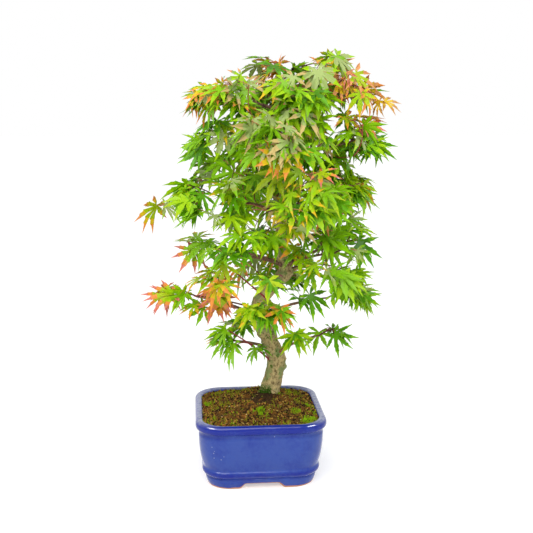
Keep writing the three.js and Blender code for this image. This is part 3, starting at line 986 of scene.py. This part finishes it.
def joined_skins(name, lines, around):
    """One mesh of many limbs."""
    vertices, faces = [], []
    for line, first, last in lines:
        part = loop_mesh("limb", limb_skin(line, first, last, around))
        offset = len(vertices)
        vertices += [v.co[:] for v in part.vertices]
        faces += [tuple(offset + i for i in p.vertices) for p in part.polygons]
        bpy.data.meshes.remove(part)
    mesh = bpy.data.meshes.new(name)
    mesh.from_pydata(vertices, [], faces)
    mesh.shade_smooth()
    return mesh


bough_mesh = joined_skins("bough_bark", grown.boughs, 12)
bough_mesh.materials.append(bark_material("bough_bark", (0.200, 0.105, 0.062), (0.075, 0.034, 0.024), 0.04))
boughs = new_object("bough_bark", bough_mesh)
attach(boughs, "root")
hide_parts(*[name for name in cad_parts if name.startswith("bough_")])

# ---------------------------------------------------------------- Twigs, shoots and leaf stalks
# Dark purplish-brown twigs, crimson shoots of this year, and a thin pink-brown stalk for each leaf. Each kind
# is a round section swept along its lines.


def sweep_tree():
    """Geometry nodes that sweep a round section along edges, to each point's own radius."""
    tree, given = open_tree("sweep", {"Sides": "Int", "Material": "Material"})
    radius = add_node(tree, "GeometryNodeInputNamedAttribute", {"Name": "radius"}, data_type="FLOAT")
    curve = add_node(tree, "GeometryNodeMeshToCurve", {"Mesh": given["Geometry"]})
    ring = add_node(tree, "GeometryNodeCurvePrimitiveCircle", {"Resolution": given["Sides"], "Radius": 1.0})
    swept = add_node(tree, "GeometryNodeCurveToMesh", {
        "Curve": curve.outputs[0], "Profile Curve": ring.outputs[0], "Scale": radius.outputs[0],
        "Fill Caps": True})
    real = add_node(tree, "GeometryNodeRealizeInstances", {"Geometry": swept.outputs[0]})
    smooth = add_node(tree, "GeometryNodeSetShadeSmooth", {"Geometry": real.outputs[0]})
    return close_tree(tree, smooth.outputs[0], given["Material"])


def line_mesh(name, lines):
    vertices, edges, radii = [], [], []
    for line, first, last in lines:
        offset = len(vertices)
        vertices += [tuple(p) for p in line]
        edges += [(offset + i, offset + i + 1) for i in range(len(line) - 1)]
        radii += list(np.linspace(first, last, len(line)))
    mesh = bpy.data.meshes.new(name)
    mesh.from_pydata(vertices, edges, [])
    mesh.attributes.new("radius", "FLOAT", "POINT").data.foreach_set("value", radii)
    return mesh


def plant_material(name, colour, dull, bright):
    """Smooth live bark or leaf in one colour, its gloss uneven."""
    material, tree, shader = new_material(name, colour, dull, 0.10)
    place = object_place(tree)
    wear = mottle(tree, place, 120.0, 3.0)
    tree.links.new(remap(tree, wear, 0.35, 0.65, bright, dull), shader.inputs["Roughness"])
    return material


sweep = sweep_tree()
twig_kinds = [
    ("twigs", grown.twigs, 6, plant_material("twig_bark", (0.105, 0.038, 0.028), 0.75, 0.5)),
    ("young_shoots", grown.shoots, 6, plant_material("shoot_bark", (0.250, 0.034, 0.036), 0.6, 0.4)),
    ("leaf_stalks", grown.stalks, 4, plant_material("leaf_stalk", (0.430, 0.150, 0.075), 0.6, 0.4)),
]
for name, lines, sides, material in twig_kinds:
    piece = new_object(name, line_mesh(name, lines))
    run_nodes(piece, sweep, Sides=sides, Material=material)
    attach(piece, "root")

# ---------------------------------------------------------------- Leaves
# Deeply lobed, long-tipped, toothed leaves, thin and matt, each folded a little along the rib of every lobe.
# Most are fresh green, the young ones at the tips of some sprays yellow, orange, tan or rose.
leaf_kinds = 10
# Each lobe: degrees from the middle one, and its length as a share of it.
lobe_plan = [(0, 1.0), (34, 0.93), (-34, 0.93), (70, 0.74), (-70, 0.74), (114, 0.42), (-114, 0.42)]
# Along a lobe: how far from the stalk, and half its width there, so that its edge is toothed.
tooth_plan = [(0.36, 0.086), (0.48, 0.122), (0.53, 0.092), (0.66, 0.094), (0.72, 0.054)]
small_tooth_plan = [(0.55, 0.17)]
sinus_share = 0.22


def leaf_pattern(rng):
    """A leaf of length 1: its places, its faces, and for each face how far out it is, from 0 to 1."""
    places, faces, outness = [(0.0, 0.0, 0.0)], [], []
    lobes = sorted(
        (math.radians(turn + rng.normal(0, 4)), length * rng.uniform(0.88, 1.08), abs(turn) > 100)
        for turn, length in lobe_plan
    )
    droop = [rng.uniform(-0.12, 0.28) for _ in lobes]
    fold = rng.uniform(0.2, 0.7)
    wide = rng.uniform(0.76, 1.08)

    def put(turn, along, aside, bow):
        x = -math.sin(turn) * along + math.cos(turn) * aside
        y = math.cos(turn) * along + math.sin(turn) * aside
        rise = fold * abs(aside) - bow * along * along
        places.append((x, y, rise))
        return len(places) - 1

    notches = []
    for (turn, length, _), (next_turn, next_length, _) in zip(lobes, lobes[1:]):
        notches.append(put((turn + next_turn) / 2, sinus_share * min(length, next_length), 0.0, 0.1))
    ends = []
    for turn, length, _ in (lobes[0], lobes[-1]):
        ends.append(put(turn * 1.18, 0.30 * length, 0.0, 0.1))
    notches = [ends[0], *notches, ends[1]]
    for k, (turn, length, small) in enumerate(lobes):
        plan = small_tooth_plan if small else tooth_plan
        tip = put(turn, length, 0.0, droop[k])
        ribs = [put(turn, 0.30 * length, 0.0, 0.1)]
        ribs += [put(turn, along * length, 0.0, droop[k]) for along, _ in plan]
        for side, notch in ((1, notches[k]), (-1, notches[k + 1])):
            edge = [notch]
            for along, half in plan:
                edge.append(put(turn, (along + 0.01) * length, side * half * wide * length, droop[k]))
            faces.append((0, edge[0], ribs[0]) if side > 0 else (0, ribs[0], edge[0]))
            outness.append(0.0)
            for i in range(len(plan)):
                quad = (ribs[i], edge[i], edge[i + 1], ribs[i + 1])
                faces.append(quad if side > 0 else quad[::-1])
                outness.append(plan[i][0])
            point = (ribs[-1], edge[-1], tip)
            faces.append(point if side > 0 else point[::-1])
            outness.append(1.0)
    return np.array(places), faces, np.array(outness)


leaf_colours = {
    "fresh": (0.185, 0.410, 0.001),
    "bright": (0.285, 0.485, 0.001),
    "deep": (0.095, 0.290, 0.001),
    "shade": (0.055, 0.190, 0.001),
    "olive": (0.250, 0.340, 0.045),
    # Sage: partly the leaves' own pale colour, partly painted sheen of the white surroundings on leaves seen
    # from above.
    "sage": (0.305, 0.390, 0.120),
    "lime": (0.330, 0.450, 0.003),
    "gold": (0.570, 0.390, 0.010),
    "tan": (0.470, 0.360, 0.130),
    "orange": (0.640, 0.230, 0.040),
    "peach": (0.600, 0.280, 0.100),
    "rose": (0.560, 0.160, 0.115),
    "rust": (0.440, 0.215, 0.040),
}
# A leaf's colours from its stalk outwards.
schemes = {
    "green": ("fresh", "fresh", "fresh"),
    "bright": ("bright", "bright", "lime"),
    "mixed": ("fresh", "bright", "bright"),
    "dark": ("deep", "deep", "fresh"),
    "inner": ("shade", "deep", "deep"),
    "pale": ("sage", "sage", "bright"),
    "yellowing": ("bright", "lime", "gold"),
    "limy": ("lime", "lime", "lime"),
    "turning": ("lime", "gold", "orange"),
    "golden": ("gold", "orange", "orange"),
    "peachy": ("gold", "peach", "orange"),
    "sandy": ("sage", "tan", "tan"),
    "dusty": ("bright", "sage", "peach"),
    "soft": ("sage", "olive", "fresh"),
    "flushed": ("peach", "rose", "rose"),
    "rosy": ("lime", "peach", "peach"),
    "red_edged": ("lime", "orange", "rose"),
    "browned": ("gold", "rust", "rust"),
}
turned_schemes = {"turning", "golden", "peachy", "sandy", "flushed", "red_edged", "rosy", "browned"}
# How the colours are dealt: in the upper crown, paler there, partly as painted sheen on leaves seen from
# above and partly as their own pale tints; below it; and deep inside, darker, as painted shade.
# In the upper crown the paler greens are partly the leaves' own pale tints and partly painted sheen.
upper_tint_and_sheen_deal = {
    "pale": .18, "soft": .17, "sandy": .09, "mixed": .14, "green": .20, "dark": .07, "yellowing": .05,
    "dusty": .10}
outer_deal = {
    "pale": .06, "soft": .10, "mixed": .20, "green": .27, "bright": .13, "dark": .14, "limy": .05,
    "yellowing": .05}
# Deep inside the crown the deal is darker: painted shade.
painted_shade_deal = {"dark": .30, "inner": .12, "green": .30, "mixed": .28}
upper_height, spray_patch = 430 * MM, 32
painted_shade_depth = 10 * MM
# Masses whose sprays have turned: what share of each, and what to.
turned_masses = {
    "cap": (0.50, ["peachy", "golden", "pale"]), "top_left": (0.40, ["golden", "turning", "pale"]),
    "top_right": (0.45, ["flushed", "peachy", "red_edged"]), "top_back": (0.25, ["turning", "peachy"]),
    "right_tip": (1.0, ["browned", "peachy"]), "left_tip": (1.0, ["turning", "golden"]),
    "upper_front": (0.15, ["sandy", "turning"]), "upper_back": (0.15, ["turning", "golden"]),
    "high_front": (0.30, ["sandy", "limy", "yellowing"]), "high_right": (0.20, ["red_edged", "limy"]),
    "middle_right": (0.15, ["flushed", "turning"]), "middle_back": (0.20, ["golden", "yellowing"]),
    "low_left": (0.45, ["golden", "turning", "red_edged"]),
    "low_front": (0.55, ["golden", "limy", "turning"]),
    "low_back": (0.20, ["turning", "limy"]), "skirt_right": (0.15, ["yellowing", "limy"]),
}
stray_tint_share, stray_tints = 0.06, ["turning", "sandy", "yellowing", "red_edged"]
turn_offset = Vector((7, 7, 7))  # keeps the noise that turns sprays apart from the one that deals greens


def deal_scheme(rng, place, depth):
    """A leaf's colours: its spray's tint, or one of the greens, darker inside the crown as painted shade, and
    paler in the upper crown, partly as painted sheen.
    """
    depths = [depth_inside(shapes[name][0], place) for name in mass_names]
    share, choices = turned_masses.get(mass_names[int(np.argmax(depths))].replace("foliage_", ""), (0, []))
    # Whole sprays turn together, as this draw follows a slow noise too.
    if (0.5 + 0.9 * noise.noise(place * spray_patch + turn_offset)) % 1.0 < share:
        return choices[rng.integers(len(choices))]
    if rng.random() < stray_tint_share:
        return stray_tints[rng.integers(len(stray_tints))]
    # Painted shade: the deepest leaves get the darker deal, and the upper crown's paler deal is partly
    # painted sheen.
    deal = painted_shade_deal if depth > painted_shade_depth else upper_tint_and_sheen_deal if place.z > upper_height else outer_deal
    chances = np.cumsum(list(deal.values()))
    # Neighbours tend to match, as the draw follows a slow noise through the crown.
    draw = (0.5 + 0.9 * noise.noise(place * spray_patch) + rng.normal(0, 0.16)) % 1.0
    return list(deal)[min(len(deal) - 1, int(np.searchsorted(chances, draw * chances[-1])))]


leaf_materials = {
    name: plant_material("leaf_" + name, colour, 0.62, 0.46) for name, colour in leaf_colours.items()}


def leaf_mesh(name, leaves, patterns, rng):
    """All the leaves of one kind in one mesh, each face with its own plain colour."""
    colours = list(leaf_colours)
    vertices, faces, slots = [], [], []
    offset = 0
    for end, axis, normal, size, scheme in leaves:
        places, pattern_faces, outness = patterns[rng.integers(len(patterns))]
        side = axis.cross(normal).normalized()
        normal = side.cross(axis).normalized()
        basis = np.array([side, axis, normal])
        vertices.append(places @ basis * size + np.array(end))
        faces += [tuple(offset + i for i in face) for face in pattern_faces]
        zone = np.digitize(outness, [0.50, 0.70])
        slots.append(np.array([colours.index(c) for c in schemes[scheme]])[zone])
        offset += len(places)
    mesh = bpy.data.meshes.new(name)
    mesh.from_pydata(np.concatenate(vertices).tolist(), [], faces)
    for colour in colours:
        mesh.materials.append(leaf_materials[colour])
    mesh.polygons.foreach_set("material_index", np.concatenate(slots).astype(np.int32))
    return mesh


leaf_rng = np.random.default_rng(growth_seed)
patterns = [leaf_pattern(leaf_rng) for _ in range(leaf_kinds)]
dealt = [
    (end, axis, normal, size, scheme or deal_scheme(leaf_rng, end + axis * size * 0.4, depth))
    for end, axis, normal, size, depth, scheme in grown.leaves
]
leaf_pieces = [
    ("leaves_green", [leaf for leaf in dealt if leaf[4] not in turned_schemes], "leaf_green"),
    ("leaves_turned", [leaf for leaf in dealt if leaf[4] in turned_schemes], "leaf_tinted"),
]
for name, leaves, slot in leaf_pieces:
    piece = new_object(name, leaf_mesh(name, leaves, patterns, leaf_rng))
    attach(piece, "root")
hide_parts(*mass_names)
